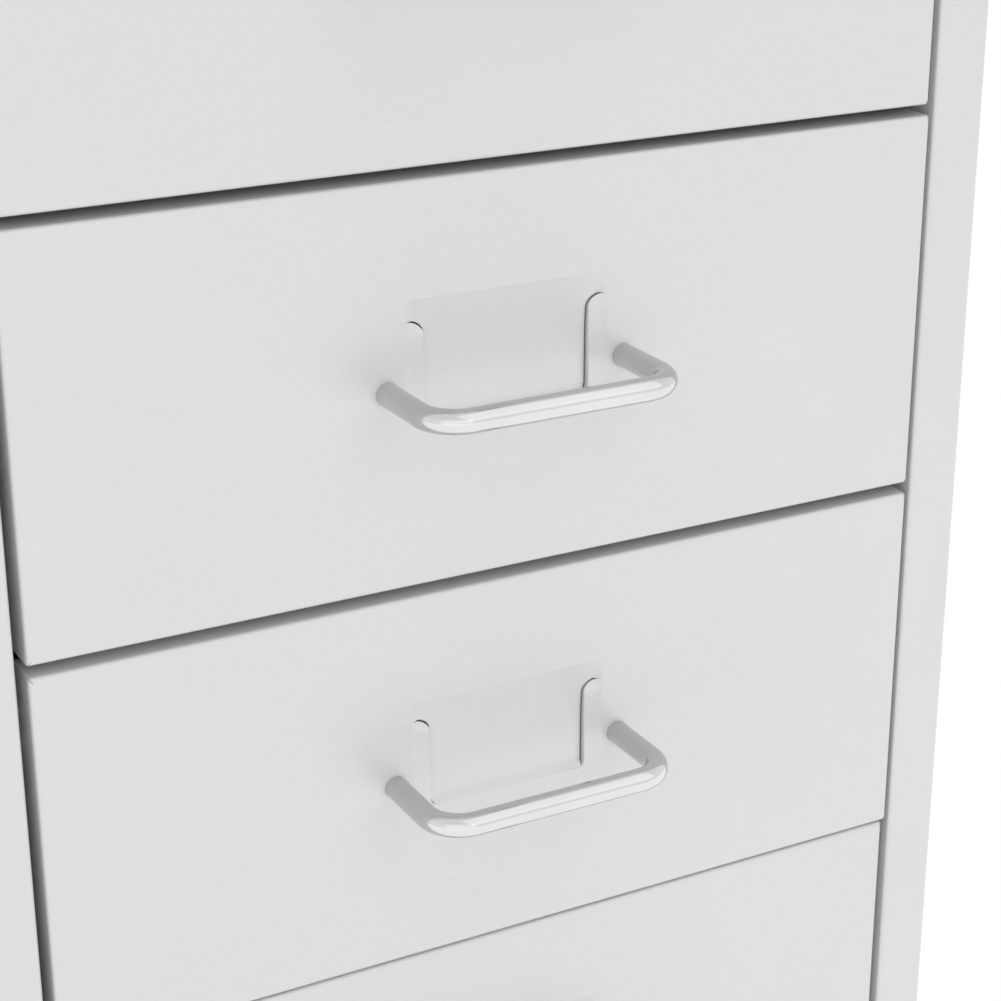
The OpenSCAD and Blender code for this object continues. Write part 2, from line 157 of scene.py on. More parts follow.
def platedMetal(name, look):
    f = Finish(name)
    drawn = f.noise(1.0, 2.0, at=f.stretched(*look["grain"]))
    cloud = f.noise(look["cloudScale"], 3.0)
    return f.surface(
        baseColor=f.between(cloud, look["dark"], look["light"]), metallic=1.0,
        roughness=look["roughness"] + drawn * look["roughSpread"],
        normal=f.bump(drawn, look["grainHeight"]))


nickelPlate = platedMetal("satin nickel", {
    "dark": (0.515, 0.52, 0.512), "light": (0.605, 0.61, 0.6), "roughness": 0.09, "roughSpread": 0.1,
    "grain": (150, 2500, 2500), "grainHeight": 0.000002, "cloudScale": 60})
zincPlate = platedMetal("zinc plate", {
    "dark": (0.44, 0.455, 0.47), "light": (0.57, 0.58, 0.6), "roughness": 0.26, "roughSpread": 0.14,
    "grain": (1200, 1200, 1200), "grainHeight": 0.000005, "cloudScale": 150})


def galvanised(name, look):
    f = Finish(name)
    spangle = f.cells(look["spangleScale"])
    cloud = f.noise(look["cloudScale"], 4.0)
    share = spangle * look["spangleShare"] + cloud * (1 - look["spangleShare"])
    return f.surface(
        baseColor=f.between(share, look["dark"], look["light"]), metallic=1.0,
        roughness=look["roughness"] + spangle * look["roughSpread"],
        normal=f.bump(cloud, look["cloudHeight"]))


runnerSteel = galvanised("galvanised steel", {
    "dark": (0.5, 0.52, 0.54), "light": (0.72, 0.73, 0.75), "roughness": 0.3, "roughSpread": 0.2,
    "spangleScale": 420, "spangleShare": 0.6, "cloudScale": 40, "cloudHeight": 0.00002})


def mouldedPlastic(name, look):
    f = Finish(name)
    grain = f.noise(look["grainScale"], 3.0)
    cloud = f.noise(look["cloudScale"], 2.0)
    return f.surface(
        baseColor=f.between(cloud, look["dark"], look["light"]),
        roughness=look["roughness"] + (grain - 0.5) * look["roughSpread"],
        normal=f.bump(grain, look["grainHeight"]))


naturalNylon = mouldedPlastic("natural nylon", {
    "dark": (0.8, 0.79, 0.74), "light": (0.88, 0.87, 0.83), "roughness": 0.42, "roughSpread": 0.2,
    "grainScale": 1500, "grainHeight": 0.00001, "cloudScale": 37.5})
blackNylon = mouldedPlastic("black nylon", {
    "dark": (0.018, 0.018, 0.02), "light": (0.035, 0.035, 0.037), "roughness": 0.45, "roughSpread": 0.2,
    "grainScale": 2600, "grainHeight": 0.00003, "cloudScale": 65})
wheelNylon = mouldedPlastic("wheel nylon", {
    "dark": (0.022, 0.022, 0.024), "light": (0.05, 0.05, 0.052), "roughness": 0.36, "roughSpread": 0.2,
    "grainScale": 1800, "grainHeight": 0.00002, "cloudScale": 45})
print("finishes made")

finishOf = {"case_paint": casePaint, "drawer_paint": drawerPaint, "runner_steel": runnerSteel,
            "nickel": nickelPlate, "zinc": zincPlate, "nylon": naturalNylon,
            "castor_plastic": blackNylon, "wheel_plastic": wheelNylon}
slotOf = {row["node"]: row["material_slot"] for row in frame["record"]["subparts"]}
for nodeName, node in frame["nodes"].items():
    node.data.materials.clear()
    node.data.materials.append(finishOf[slotOf[nodeName]])

bodyOf = {name: body for body, names in frame["record"]["behaviour"]["bodies"].items() for name in names}
back, up = Vector((0, 1, 0)), Vector((0, 0, 1))
weldWithin, shortEdge, flatWithin = 0.000002, 0.000001, 0.4
worn = {"steps": 2, "from": 40}  # the small rounds along edges, and how sharp an edge gets one


def boxOf(node):  # a CAD node's box in millimetres
    low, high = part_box(node)
    return Vector(low) / mm, Vector(high) / mm


def meshFrom(name, polygons, outward=None):
    work = bmesh.new()
    for polygon in polygons:
        work.faces.new([work.verts.new(Vector(corner) * mm) for corner in polygon])
    bmesh.ops.remove_doubles(work, verts=work.verts, dist=weldWithin)
    bmesh.ops.dissolve_degenerate(work, edges=work.edges, dist=shortEdge)
    bmesh.ops.recalc_face_normals(work, faces=work.faces)
    if outward:
        widest = max(work.faces, key=lambda face: face.calc_area())
        if widest.normal.dot(outward) < 0:
            bmesh.ops.reverse_faces(work, faces=work.faces)
    mesh = bpy.data.meshes.new(name)
    work.to_mesh(mesh)
    work.free()
    return mesh


def addPiece(name, mesh, node, *others, sheet=0.0, edge=0.0, sharp=35):
    made = bpy.data.objects.new(name, mesh)
    bpy.context.scene.collection.objects.link(made)
    if sheet:
        solid = made.modifiers.new("sheet", "SOLIDIFY")
        solid.thickness, solid.offset, solid.use_even_offset = sheet * mm, -1, True
    if edge:
        rounds = made.modifiers.new("edges", "BEVEL")
        rounds.width, rounds.segments, rounds.angle_limit = edge * mm, worn["steps"], math.radians(worn["from"])
    if sheet or edge:
        graph = bpy.context.evaluated_depsgraph_get()
        made.data = bpy.data.meshes.new_from_object(made.evaluated_get(graph))
        made.modifiers.clear()
    made.data.shade_smooth()
    made.data.set_sharp_from_angle(angle=math.radians(sharp))
    made.modifiers.new("shading", "WEIGHTED_NORMAL").keep_sharp = True
    made.data.materials.clear()
    made.data.materials.append(finishOf[slotOf[node]])
    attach(made, bodyOf[node])
    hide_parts(node, *others)
    return made


sheetLook = {"case": 0.8, "back": 0.7, "front": 0.8, "tray": 0.7, "runner": 1.0, "edge": 0.12,
             "bend": 1.2, "steps": 6, "notch": 0.7, "seam": 0.15, "mitre": 0.6}


def foldedRows(points, sheet, radius=sheetLook["bend"]):  # pairs of points on both faces of a folded sheet
    corners = [Vector(point) for point in points]
    rows = []
    for k, corner in enumerate(corners):
        u = (corner - corners[k - 1]).normalized() if k else None
        v = (corners[k + 1] - corner).normalized() if k < len(corners) - 1 else None
        if u is None or v is None:
            along = u or v
            rows.append((corner, corner + Vector((-along.y, along.x)) * sheet))
            continue
        turn = 1 if u.cross(v) > 0 else -1
        reach = radius if turn > 0 else radius - sheet
        centre = corner + (v - u) * reach
        for step in range(sheetLook["steps"] + 1):
            a = math.pi / 2 * step / sheetLook["steps"]
            ray = u * math.sin(a) - v * math.cos(a)
            rows.append((centre + ray * reach, centre + ray * (reach - turn * sheet)))
    return rows


def carried(rows, stations, lift):  # the polygons of a section carried from station to station
    polygons = []
    for a, b in zip(stations, stations[1:]):
        for (near, far), (nextNear, nextFar) in zip(rows, rows[1:]):
            polygons.append([lift(near, a), lift(nextNear, a), lift(nextNear, b), lift(near, b)])
            polygons.append([lift(far, a), lift(far, b), lift(nextFar, b), lift(nextFar, a)])
        for near, far in (rows[0], rows[-1]):
            polygons.append([lift(near, a), lift(near, b), lift(far, b), lift(far, a)])
    for end in (stations[0], stations[-1]):
        for (near, far), (nextNear, nextFar) in zip(rows, rows[1:]):
            polygons.append([lift(near, end), lift(far, end), lift(nextFar, end), lift(nextNear, end)])
    return polygons


def alongX(point, at):
    return (at, point[0], point[1])


def alongY(point, at):
    return (point[0], at, point[1])


def alongZ(point, at):
    return (point[0], point[1], at)


def mirrored(polygons):
    return [[(-x, y, z) for x, y, z in polygon] for polygon in polygons]


def bendRow(half, depth, hem):  # how far out and how far back each line of a folded edge lies
    radius, steps, notch = sheetLook["bend"], sheetLook["steps"], sheetLook["notch"]
    quarter = [math.pi / 2 * step / steps for step in range(steps + 1)]
    row = [(half - radius + radius * math.sin(a), radius - radius * math.cos(a)) for a in quarter]
    row.append((half, radius + notch))
    if not hem:
        return row + [(half, depth)]
    row.append((half, depth - radius - notch))
    row += [(half - radius + radius * math.cos(a), depth - radius + radius * math.sin(a)) for a in quarter]
    return row + [(half - hem, depth)]


def panSkin(width, length, depth, hem, columns, rows, centre=None):  # a pan's outer face
    radius, notch = sheetLook["bend"], sheetLook["notch"] * 0.9
    polygons = centre or [
        [(a, c, 0), (b, c, 0), (b, d, 0), (a, d, 0)]
        for a, b in zip(columns, columns[1:]) for c, d in zip(rows, rows[1:])]

    def shortOf(half, butt, out, down):  # how far from the pan's corner a flange's line ends
        if down > radius + notch and (not hem or down < depth - radius - notch):
            return butt
        if hem and down == depth:
            return max(radius, half - out)
        return radius - (sheetLook["mitre"] * max(0.0, out - half + radius) if down <= radius else 0)

    for half, other, stations, swap in ((width / 2, length / 2, rows, False),
                                        (length / 2, width / 2, columns, True)):
        butt = sheetLook["seam"] + (0 if swap else sheetLook["case"])
        lines = [(out, down, other - shortOf(half, butt, out, down))
                 for out, down in bendRow(half, depth, hem)]
        for side in (-1, 1):
            for line, nextLine in zip(lines, lines[1:]):
                for a, b in zip(stations, stations[1:]):
                    quad = []
                    for (out, down, limit), s in ((line, a), (line, b), (nextLine, b), (nextLine, a)):
                        if abs(s) > other - radius - 0.001:
                            s = math.copysign(limit, s)
                        s = max(-limit, min(limit, s))
                        quad.append((s, side * out, down) if swap else (side * out, s, down))
                    polygons.append(quad)
    return polygons


def spread(low, high, count):
    return [low + (high - low) * k / count for k in range(count + 1)]


case = {"width": 280, "depth": 430, "rail": 11.5, "return": 12, "lip": 12, "hem": 8, "stile": 15.5}


def sidePanel(name, node, flip):
    low, high = boxOf("side_panel_right")
    wall, stile = high.x, high.x - case["stile"]
    rows = foldedRows([(stile, low.y + case["return"]), (stile, low.y), (wall, low.y), (wall, high.y),
                       (wall - case["lip"], high.y)], sheetLook["case"])
    polygons = carried(rows, spread(low.z, high.z, 12), alongZ)
    inner, bend = wall - sheetLook["case"], sheetLook["bend"]
    for z in (low.z, high.z - sheetLook["case"]):
        plate = [(Vector((x, z)), Vector((x, z + sheetLook["case"]))) for x in (inner, wall - case["lip"])]
        polygons += carried(plate, [low.y + 2 * bend, high.y - 2 * bend], alongY)
    mesh = meshFrom(name, mirrored(polygons) if flip else polygons)
    return addPiece(name, mesh, node, edge=sheetLook["edge"])


sidePanel("sidePanelRight", "side_panel_right", False)
sidePanel("sidePanelLeft", "side_panel_left", True)
print("side panels made")


def railPan(name, node, faceUp):
    low, high = boxOf(node)
    middle, radius = (low + high) / 2, sheetLook["bend"]
    halfX, halfY = case["width"] / 2 - radius, case["depth"] / 2 - radius
    skin = panSkin(case["width"], case["depth"], case["rail"], case["hem"],
                   spread(-halfX, halfX, 10), spread(-halfY, halfY, 14))
    face, way = (high.z, 1) if faceUp else (low.z, -1)
    skin = [[(x, y + middle.y, face - way * d) for x, y, d in polygon] for polygon in skin]
    mesh = meshFrom(name, skin, up * way)
    return addPiece(name, mesh, node, sheet=sheetLook["case"], edge=sheetLook["edge"])


railPan("topPan", "top_panel", True)
railPan("basePan", "base_panel", False)
print("top and base made")

pocket = {
    "head": 27.0, "headTop": 22.0, "hook": 16.4, "hookRise": 3.2, "tongue": 22.3, "drop": 7.8,
    "footCorner": 1.8, "ramp": 16.0, "depth": 1.5, "wallOut": 27.6, "wallIn": 25.2,
    "slit": 0.38, "turned": 2.2, "roll": 0.25, "ridge": 0.06, "ridgeAt": 21.9, "ridgeWidth": 0.4,
    "ridgeEnd": 2.0, "dip": 0.3, "dipFrom": -2.0, "dipOver": 11.0, "blendFrom": 13.0, "blendOver": 3.4}
# over how many of a slit's points its opening and its turned-in edge grow, at the foot and at the hook
slitEase = {"openFoot": 4, "openHook": 5, "turnFoot": 5, "turnHook": 14, "least": 0.05}
plainBevel, bevelOf = 1.2, {3: 0.7, 4: 1.6}  # how high the foot's slope is

# where the sheet bulges a little: in a ring about the handle's screws, and beyond each slit's end
strains = [{"at": 32.0, "level": 0.0, "ring": 4.2, "reach": 1.0, "height": 0.09},
           {"at": 28.3, "level": 16.9, "ring": 0.0, "reach": 0.9, "height": 0.12}]
# where the pocket's surface is measured: the lines across it and up it
grid = {"clear": 0.4, "beside": 6.0, "middle": 20.0, "wallFrom": 21.4, "wallTo": 28.4,
        "footUnder": 0.6, "footOver": 0.3, "faceFrom": -5.4, "faceTo": 20.7, "topFrom": 20.9, "topTo": 23.3,
        "ringIn": 0.8, "ringOut": 2.4, "ringSteps": 6, "ringTurns": 24, "least": 0.05, "merge": 0.0001}


def eased(share):
    share = max(0.0, min(1.0, share))
    return share * share * (3 - 2 * share)


def pressedIn(z, bevel):
    if z >= pocket["headTop"] or z <= -pocket["drop"]:
        return 0.0
    slope = math.sin(math.pi / 2 * min(1.0, (pocket["headTop"] - z) / pocket["ramp"]))
    return pocket["depth"] * slope * eased((z + pocket["drop"]) / bevel)


def ridge(x, z):  # the bead that the press leaves along the top of the head
    rise = math.exp(-((z - pocket["ridgeAt"]) / pocket["ridgeWidth"]) ** 2)
    return -pocket["ridge"] * rise * eased((pocket["head"] - abs(x)) / pocket["ridgeEnd"])


def wallShare(x):
    return eased((pocket["wallOut"] - abs(x)) / (pocket["wallOut"] - pocket["wallIn"]))


def bulge(x, z, at, level, ring, reach, height):
    return height * math.exp(-((math.hypot(abs(x) - at, z - level) - ring) / reach) ** 2)


def tongueDip(x, z, bevel):
    return pressedIn(z, bevel) * wallShare(x) + ridge(x, z)


def panelDip(x, z):  # beside the slits the panel itself has given a little
    blend = eased((z - pocket["blendFrom"]) / pocket["blendOver"])
    dip = pocket["dip"] * eased((z - pocket["dipFrom"]) / pocket["dipOver"])
    dip = (1 - blend) * dip + blend * pressedIn(z, plainBevel)
    return dip * wallShare(x) + ridge(x, z) - sum(bulge(x, z, **strain) for strain in strains)


def slitPath():  # the right-hand slit, from the foot's corner up to the hook's end
    corner, shoulder = pocket["footCorner"], pocket["head"] - pocket["tongue"]
    low, neck = corner - pocket["drop"], pocket["hook"] - pocket["hookRise"]
    points = [(pocket["tongue"] - corner + corner * math.sin(a), low - corner * math.cos(a))
              for a in spread(0, math.pi / 2, 6)]
    points += [(pocket["tongue"], z) for z in spread(low, neck, 36)[1:]]
    return points + [(pocket["head"] - shoulder * math.cos(a), neck + pocket["hookRise"] * math.sin(a))
                     for a in spread(0, math.pi / 2, 16)[1:]]


def samplePoints(bevel, cut):  # points of the pocket's surface, clear of the slits
    clear, foot = grid["clear"] + pocket["slit"], -pocket["drop"]

    def free(spot):
        return min((spot - c).length for c in cut) > clear

    wallLines = spread(grid["wallFrom"], grid["wallTo"], 20)
    across = [-x for x in reversed(wallLines)] + spread(-grid["middle"], grid["middle"], 26) + wallLines
    levels = spread(foot - grid["footUnder"], foot + bevel + grid["footOver"], 9)
    levels += spread(grid["faceFrom"], grid["faceTo"], 54) + spread(grid["topFrom"], grid["topTo"], 14)
    points = []
    for z in levels:
        for x in across:
            spot = Vector((x, z))
            if abs(abs(x) - pocket["tongue"]) > grid["beside"] or free(spot):
                points.append(spot)
    turns = grid["ringTurns"]
    for strain in strains:
        inner, outer = strain["ring"] * grid["ringIn"], strain["ring"] + grid["ringOut"] * strain["reach"]
        for r in spread(inner, outer, grid["ringSteps"]):
            for a in spread(0, math.tau * (turns - 1) / turns, turns):
                spot = Vector((strain["at"] + r * math.cos(a), strain["level"] + r * math.sin(a)))
                if r > grid["least"] and free(spot):
                    points += [spot, Vector((-spot.x, spot.y))]
    return points


def keyOf(point):
    return round(point[0], 3), round(point[1], 3)


def within(point, outline):
    inside = False
    for (ax, az), (bx, bz) in zip(outline, outline[1:] + outline[:1]):
        if (az > point.y) != (bz > point.y) and point.x < ax + (bx - ax) * (point.y - az) / (bz - az):
            inside = not inside
    return inside


def partedEdges(slits):  # how far the tongue's own edge stands off each slit's
    shift = {}
    for path, side in zip(slits, (1, -1)):
        last = len(path) - 1
        for k in range(1, last):
            run = Vector(path[k + 1]) - Vector(path[k - 1])
            ease = eased(k / slitEase["openFoot"]) * eased((last - k) / slitEase["openHook"])
            shift[keyOf(path[k])] = Vector((-run.y, run.x)).normalized() * pocket["slit"] * ease * side
    return shift


def turnedStrips(slits):  # the panel's edge along each slit is turned in
    strips, least = [], slitEase["least"]
    for path in slits:
        flanks = []
        for k, (x, z) in enumerate(path):
            ease = eased(k / slitEase["turnFoot"]) * eased((len(path) - 1 - k) / slitEase["turnHook"])
            flanks.append((x, z, panelDip(x, z), pocket["turned"] * ease))
        for (x, z, dip, deep), (nextX, nextZ, nextDip, nextDeep) in zip(flanks, flanks[1:]):
            if deep + nextDeep > 2 * least:
                strip = [(x, z, dip), (nextX, nextZ, nextDip), (nextX, nextZ, nextDip + max(nextDeep, least)),
                         (x, z, dip + max(deep, least))]
                strips.append(strip if path is slits[0] else strip[::-1])
    return strips


def frontCentre(halfX, halfZ, columns, rows, bevel):  # the flat of a front with its pocket, as triangles
    slit = slitPath()
    slits = [slit, [(-x, z) for x, z in slit]]
    rim = [(x, -halfZ) for x in columns] + [(halfX, z) for z in rows[1:]]
    rim += [(x, halfZ) for x in reversed(columns[:-1])] + [(-halfX, z) for z in reversed(rows[1:-1])]
    points, edges = [Vector(p) for p in rim], [(k, (k + 1) % len(rim)) for k in range(len(rim))]
    for path in slits:
        first = len(points)
        points += [Vector(p) for p in path]
        edges += [(first + k, first + k + 1) for k in range(len(path) - 1)]
    points += samplePoints(bevel, points[len(rim):])
    found, _, faces, *_ = delaunay_2d_cdt(points, edges, [], 0, grid["merge"])
    head, top = pocket["head"], pocket["headTop"] + 1
    outline = slit + [(head, top), (-head, top)] + slits[1][::-1]
    shift, still = partedEdges(slits), Vector((0, 0))
    triangles = []
    for face in faces:
        corners = [found[k] for k in face]
        if within(sum(corners, still) / 3, outline):
            moved = [p + shift.get(keyOf(p), still) for p in corners]
            rolled = [pocket["roll"] * (m - p).length / pocket["slit"] for p, m in zip(corners, moved)]
            triangles.append([(m.x, m.y, tongueDip(p.x, p.y, bevel) + roll)
                              for p, m, roll in zip(corners, moved, rolled)])
        else:
            triangles.append([(p.x, p.y, panelDip(p.x, p.y)) for p in corners])
    return triangles + turnedStrips(slits)


front = {"width": 245, "height": 100, "flange": 12}
for i in range(1, 7):
    node = f"drawer_front_{i}"
    low, high = boxOf(node)
    middle = (low + high) / 2
    halfX, halfZ = front["width"] / 2 - sheetLook["bend"], front["height"] / 2 - sheetLook["bend"]
    columns, rows = spread(-halfX, halfX, 16), spread(-halfZ, halfZ, 8)
    centre = frontCentre(halfX, halfZ, columns, rows, bevelOf.get(i, plainBevel))
    skin = panSkin(front["width"], front["height"], front["flange"], 0, columns, rows, centre)
    skin = [[(middle.x + x, low.y + d, middle.z + z) for x, z, d in polygon] for polygon in skin]
    addPiece(f"drawerFront{i}", meshFrom(node, skin, -back), node, sheet=sheetLook["front"])
print("drawer fronts made")

rod = {"radius": 3.0, "pitch": 64, "reach": 26.0, "bend": 9.0, "nick": 0.25, "sides": 40}


def handleTube(origin):
    half, reach, bend = rod["pitch"] / 2, rod["reach"], rod["bend"]
    leg = [(half, 0), (half, -rod["nick"]), (half, (bend - reach) / 2)]
    leg += [(half - bend + bend * math.cos(a), bend - reach - bend * math.sin(a))
            for a in spread(0, math.pi / 2, 24)]
    path = leg + [(x, -reach) for x in spread(half - bend, bend - half, 8)[1:-1]]
    path += [(-x, y) for x, y in reversed(leg)]
    rings = []
    for k, (x, y) in enumerate(path):
        before, after = path[max(k - 1, 0)], path[min(k + 1, len(path) - 1)]
        along = Vector((after[0] - before[0], after[1] - before[1])).normalized()
        side = Vector((-along.y, along.x, 0))
        radius = rod["radius"] - (rod["nick"] if k in (0, len(path) - 1) else 0)
        rings.append([origin + Vector((x, y, 0)) + (side * math.cos(a) + up * math.sin(a)) * radius
                      for a in spread(0, 2 * math.pi, rod["sides"])[:-1]])
    polygons = [list(reversed(rings[0])), rings[-1]]
    for first, second in zip(rings, rings[1:]):
        for k in range(rod["sides"]):
            n = (k + 1) % rod["sides"]
            polygons.append([first[k], first[n], second[n], second[k]])
    return polygons


for i in range(1, 7):
    node = f"drawer_handle_{i}"
    low, high = boxOf(node)
    origin = Vector(((low.x + high.x) / 2, high.y, (low.z + high.z) / 2))
    addPiece(f"drawerHandle{i}", meshFrom(node, handleTube(origin)), node)
print("handles made")

tray = {"half": 116.5, "flange": 6.3, "floor": 0.8, "top": 80.0, "hem": 8.0, "tab": 4.0, "length": 398.2,
        "frontGap": 13.0, "edge": 0.1}
glide = {"length": 40.0, "wide": 7.05, "high": 7.4, "low": 2.7, "edge": 0.7,
         "groove": 0.5, "grooveIn": 0.4, "grooveOut": 0.8}
rack = {"lip": 117.5, "back": 125.5, "high": 8.0, "under": 3.0, "post": 30.0, "foot": 8.0, "postAt": 20.0,
        "inner": 139.2}
saddle = {"length": 15.0, "plate": 1.2, "play": 0.3, "lead": 1.5, "leadDrop": 0.6, "plateDrop": 0.7,
          "edge": 0.3}


def drawerOrigin(i):  # the middle of a front's outer face
    low, high = boxOf(f"drawer_front_{i}")
    return Vector(((low.x + high.x) / 2, low.y, (low.z + high.z) / 2))


def placed(polygons, origin):
    return [[Vector(corner) + origin for corner in polygon] for polygon in polygons]


def bothSides(polygons):
    return polygons + mirrored(polygons)


def block(section, stations, lift):  # a solid bar of one section
    polygons = [[lift(point, end) for point in section] for end in (stations[0], stations[-1])]
    for a, b in zip(stations, stations[1:]):
        for near, far in zip(section, section[1:] + section[:1]):
            polygons.append([lift(near, a), lift(far, a), lift(far, b), lift(near, b)])
    return polygons


def traySheet():
    half, sheet, bend = tray["half"], sheetLook["tray"], sheetLook["bend"]
    floorZ, flangeZ = tray["floor"] - front["height"] / 2, tray["top"] - front["height"] / 2
    start, end = sheetLook["front"], sheetLook["front"] + tray["length"]
    cup = [(-half, flangeZ), (-half, floorZ), (half, floorZ), (half, flangeZ)]
    brim = [(-half - tray["flange"], flangeZ)] + cup + [(half + tray["flange"], flangeZ)]
    polygons = carried(foldedRows(cup, sheet), spread(start + bend, tray["frontGap"], 1), alongY)
    polygons += carried(foldedRows(brim, sheet), spread(tray["frontGap"], end - bend, 16), alongY)
    rear = [(end - 3 * bend, floorZ), (end, floorZ), (end, flangeZ), (end - tray["hem"], flangeZ)]
    polygons += carried(foldedRows(rear, sheet), spread(bend - half, half - bend, 10), alongX)
    tab = [(half - sheet, front["flange"]), (half - sheet, start), (half + tray["tab"], start)]
    tabZ = spread(floorZ + 2 * bend, flangeZ - 2 * bend, 4)
    return polygons + bothSides(carried(foldedRows(tab, sheet), tabZ, alongZ))


def rearGlides():  # nylon blocks with a groove along the side
    half, end = tray["half"], sheetLook["front"] + tray["length"] - sheetLook["bend"]
    low = tray["top"] - front["height"] / 2 - glide["low"]
    high, side = low + glide["high"], half + glide["wide"]
    middle, groove = (low + high) / 2, side - glide["groove"]
    section = [(half, low), (side, low), (side, middle - glide["grooveOut"]),
               (groove, middle - glide["grooveIn"]), (groove, middle + glide["grooveIn"]),
               (side, middle + glide["grooveOut"]), (side, high), (half, high)]
    return bothSides(block(section, spread(end - glide["length"], end, 4), alongY))


for i in range(1, 7):
    origin = drawerOrigin(i)
    sheet, nylon = placed(traySheet(), origin), placed(rearGlides(), origin)
    addPiece(f"drawerTray{i}", meshFrom("tray", sheet), f"drawer_tray_{i}", edge=tray["edge"])
    addPiece(f"drawerGlides{i}", meshFrom("glides", nylon), f"drawer_glides_{i}", edge=glide["edge"])
print("trays made")


def channel(z):
    sheet = sheetLook["runner"]
    low, high, lip, web = z - sheet, z + rack["high"] + sheet, rack["lip"], rack["back"]
    return foldedRows([(lip, low), (web, low), (web, high), (lip, high)], sheet)


rackLow, rackHigh = boxOf("runner_rack_right")
runnerLevels = [boxOf(f"drawer_front_{i}")[0].z + tray["top"] - rack["under"] for i in range(1, 7)]
postZ = spread(rackLow.z, rackHigh.z, 12)
web, inner = rack["back"] + sheetLook["runner"], rack["inner"]
rackSheet = []
for y in (rackLow.y + rack["postAt"], rackHigh.y - rack["postAt"] - rack["post"]):
    post = [(inner, y - rack["foot"]), (inner, y), (web, y), (web, y + rack["post"]),
            (inner, y + rack["post"]), (inner, y + rack["post"] + rack["foot"])]
    rackSheet += carried(foldedRows(post, sheetLook["runner"]), postZ, alongZ)
for level in runnerLevels:
    rackSheet += carried(channel(level), spread(rackLow.y, rackHigh.y, 12), alongY)
edge = sheetLook["edge"]
addPiece("runnerRackRight", meshFrom("rack", rackSheet), "runner_rack_right", edge=edge)
addPiece("runnerRackLeft", meshFrom("rack", mirrored(rackSheet)), "runner_rack_left", edge=edge)

top, plate, length = rack["under"] - saddle["play"], saddle["plate"], saddle["length"]
profile = [(-plate, -sheetLook["runner"]), (0, -sheetLook["runner"]), (0, 0), (length, 0),
           (length, top - saddle["leadDrop"]), (length - saddle["lead"], top), (0, top),
           (-plate, top - saddle["plateDrop"])]
saddles = []
for level in runnerLevels:
    spots = [(y + rackLow.y, z + level) for y, z in profile]
    saddles += bothSides(block(spots, [rack["lip"], rack["back"] - sheetLook["bend"]], alongX))
addPiece("runnerGlides", meshFrom("saddles", saddles), "runner_glides", edge=saddle["edge"])
print("runners made")

beads = {"rise": 1.8, "radius": 6.0, "half": 104.0, "soft": 0.3, "count": 3, "play": 1.5,
         "skirt": 1.0, "clearZ": 10.0, "clearX": 8.0}
shellLow, shellHigh = boxOf("side_panel_right")
backOuter = case["depth"] + shellLow.y - sheetLook["case"]
beadLevels = [shellLow.z + k * (shellHigh.z - shellLow.z) / (beads["count"] + 1)
              for k in range(1, beads["count"] + 1)]


def beadHeight(x, z):
    height = 0.0
    for level in beadLevels:
        away = math.hypot(max(0.0, abs(x) - beads["half"]), z - level)
        raw = math.sqrt(max(0.0, beads["radius"] ** 2 - away ** 2)) - (beads["radius"] - beads["rise"])
        height = max(height, (raw + math.hypot(raw, beads["soft"])) / 2)
    return height


# the back's lines lie close together where a bead starts, and far apart elsewhere
edgeX, reach = case["width"] / 2 - beads["play"], beads["radius"] + beads["skirt"]
nearX, farX = beads["half"] - beads["radius"], beads["half"] + reach
flank = spread(nearX, farX, 20) + spread(farX + 1, edgeX, 4)
middle = spread(beads["clearX"] - nearX, nearX - beads["clearX"], 12)
columns = [-x for x in reversed(flank)] + middle + flank
rows, start = [], shellLow.z
for level in beadLevels:
    rows += spread(start, level - reach - beads["clearZ"], 6) + spread(level - reach, level + reach, 28)
    start = level + reach + beads["clearZ"]
rows += spread(start, shellHigh.z, 6)
backSkin = [[(x, backOuter + beadHeight(x, z), z) for x, z in ((a, c), (b, c), (b, d), (a, d))]
            for a, b in zip(columns, columns[1:]) for c, d in zip(rows, rows[1:])]
addPiece("backPanel", meshFrom("back", backSkin, back), "back_panel", sheet=sheetLook["back"])
print("back made")

screw = {"radius": 2.0, "headRadius": 4.0, "headHigh": 2.2, "brim": 0.5, "point": 0.5, "pointIn": 0.3,
         "nick": 0.1, "slotLong": 2.3, "slotWide": 0.45, "slotDeep": 1.2, "sides": 32}


def lathe(profile, sides, lift):  # a closed profile of radii and places along the axis, turned round
    polygons = []
    for k in range(sides):
        a, b = 2 * math.pi * k / sides, 2 * math.pi * (k + 1) / sides
        for (r, at), (nextR, nextAt) in zip(profile, profile[1:] + profile[:1]):
            quad = [lift(r, a, at), lift(r, b, at), lift(nextR, b, nextAt), lift(nextR, a, nextAt)]
            polygons.append(quad[:3] if nextR == 0 else quad[1:] if r == 0 else quad)
    return [polygon for polygon in polygons if len(set(map(tuple, polygon))) > 2]


